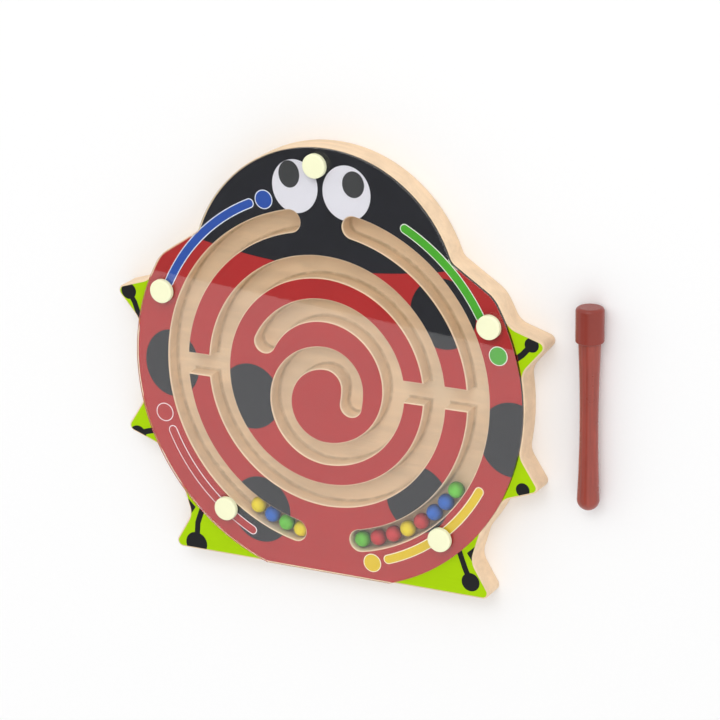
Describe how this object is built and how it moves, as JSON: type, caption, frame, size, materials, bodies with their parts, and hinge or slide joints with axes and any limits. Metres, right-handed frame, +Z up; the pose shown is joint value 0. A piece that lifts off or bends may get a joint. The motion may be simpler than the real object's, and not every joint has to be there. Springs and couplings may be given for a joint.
{
  "type": "magnetic maze board",
  "caption": "Flat wooden ladybird-shaped maze board with routed grooves, coloured beads under a clear screwed-on cover, and a magnet wand.",
  "frame": {"origin": "on the board's flat underside, straight below the common centre of the maze's rings", "axes": "board lies flat: +Z up out of the printed face, +Y towards the ladybird's head, +X to the wand's side"},
  "size_m": [0.2826, 0.2396, 0.0207],
  "materials": {
    "board_wood": "sanded, bare",
    "leaf_ink": "satin print",
    "body_ink": "satin print",
    "black_ink": "satin print",
    "leg_ink": "satin print",
    "white_ink": "satin print",
    "outline_ink": "satin print",
    "blue_ink": "satin print",
    "green_ink": "satin print",
    "yellow_ink": "satin print",
    "clear_sheet": "clear, polished",
    "screw_steel": "zinc plated",
    "seat_plastic": "moulded",
    "cap_plastic": "moulded, soft gloss",
    "bead_red": "lacquered",
    "bead_yellow": "lacquered",
    "bead_blue": "lacquered",
    "bead_green": "lacquered",
    "core_steel": "plain",
    "wand_paint": "lacquered red-brown",
    "wand_plastic": "moulded",
    "magnet_steel": "plated magnet",
    "wand_tip_plastic": "moulded"
  },
  "bodies": {
    "board": {"maze_board": "board_wood", "leaf_print": "leaf_ink", "body_print": "body_ink", "head_print": "black_ink", "legs_print": "leg_ink", "spots_print": "black_ink", "eyes_print": "white_ink", "pupils_print": "black_ink", "guide_outlines_print": "outline_ink", "guide_blue_print": "blue_ink", "guide_green_print": "green_ink", "guide_yellow_print": "yellow_ink", "guide_red_print": "body_ink", "clear_cover": "clear_sheet", "cover_screws": "screw_steel", "screw_seats": "seat_plastic", "screw_cap_top": "cap_plastic", "screw_cap_upper_left": "cap_plastic", "screw_cap_upper_right": "cap_plastic", "screw_cap_lower_left": "cap_plastic", "screw_cap_lower_right": "cap_plastic"},
    "right_bead_1": {"right_bead_1": "bead_green", "right_bead_1_core": "core_steel"},
    "right_bead_2": {"right_bead_2": "bead_red", "right_bead_2_core": "core_steel"},
    "right_bead_3": {"right_bead_3": "bead_red", "right_bead_3_core": "core_steel"},
    "right_bead_4": {"right_bead_4": "bead_yellow", "right_bead_4_core": "core_steel"},
    "right_bead_5": {"right_bead_5": "bead_red", "right_bead_5_core": "core_steel"},
    "right_bead_6": {"right_bead_6": "bead_blue", "right_bead_6_core": "core_steel"},
    "right_bead_7": {"right_bead_7": "bead_blue", "right_bead_7_core": "core_steel"},
    "right_bead_8": {"right_bead_8": "bead_green", "right_bead_8_core": "core_steel"},
    "left_bead_1": {"left_bead_1": "bead_yellow", "left_bead_1_core": "core_steel"},
    "left_bead_2": {"left_bead_2": "bead_green", "left_bead_2_core": "core_steel"},
    "left_bead_3": {"left_bead_3": "bead_blue", "left_bead_3_core": "core_steel"},
    "left_bead_4": {"left_bead_4": "bead_yellow", "left_bead_4_core": "core_steel"},
    "wand": {"wand_handle": "wand_paint", "wand_cup": "wand_plastic", "wand_magnet": "magnet_steel", "wand_tip": "wand_tip_plastic"}
  },
  "joints": [
    {"name": "right_bead_1_roll", "type": "hinge", "parent": "board", "child": "right_bead_1", "pos_m": [0, 0, 0.0097], "axis": [0, 0, 1], "range_deg": [0, 14]},
    {"name": "right_bead_2_roll", "type": "hinge", "parent": "right_bead_1", "child": "right_bead_2", "pos_m": [0, 0, 0.0097], "axis": [0, 0, 1], "range_deg": [0, 14]},
    {"name": "right_bead_3_roll", "type": "hinge", "parent": "right_bead_2", "child": "right_bead_3", "pos_m": [0, 0, 0.0097], "axis": [0, 0, 1], "range_deg": [0, 14]},
    {"name": "right_bead_4_roll", "type": "hinge", "parent": "right_bead_3", "child": "right_bead_4", "pos_m": [0, 0, 0.0097], "axis": [0, 0, 1], "range_deg": [0, 14]},
    {"name": "right_bead_5_roll", "type": "hinge", "parent": "right_bead_4", "child": "right_bead_5", "pos_m": [0, 0, 0.0097], "axis": [0, 0, 1], "range_deg": [0, 14]},
    {"name": "right_bead_6_roll", "type": "hinge", "parent": "right_bead_5", "child": "right_bead_6", "pos_m": [0, 0, 0.0097], "axis": [0, 0, 1], "range_deg": [0, 14]},
    {"name": "right_bead_7_roll", "type": "hinge", "parent": "right_bead_6", "child": "right_bead_7", "pos_m": [0, 0, 0.0097], "axis": [0, 0, 1], "range_deg": [0, 14]},
    {"name": "right_bead_8_roll", "type": "hinge", "parent": "right_bead_7", "child": "right_bead_8", "pos_m": [0, 0, 0.0097], "axis": [0, 0, 1], "range_deg": [0, 14]},
    {"name": "left_bead_1_roll", "type": "hinge", "parent": "board", "child": "left_bead_1", "pos_m": [0, 0, 0.0097], "axis": [0, 0, -1], "range_deg": [0, 34]},
    {"name": "left_bead_2_roll", "type": "hinge", "parent": "left_bead_1", "child": "left_bead_2", "pos_m": [0, 0, 0.0097], "axis": [0, 0, -1], "range_deg": [0, 34]},
    {"name": "left_bead_3_roll", "type": "hinge", "parent": "left_bead_2", "child": "left_bead_3", "pos_m": [0, 0, 0.0097], "axis": [0, 0, -1], "range_deg": [0, 34]},
    {"name": "left_bead_4_roll", "type": "hinge", "parent": "left_bead_3", "child": "left_bead_4", "pos_m": [0, 0, 0.0097], "axis": [0, 0, -1], "range_deg": [0, 34]},
    {"name": "wand_lift", "type": "slide", "parent": "board", "child": "wand", "axis": [0, 0, 1], "range_m": [0, 0.12]}
  ]
}
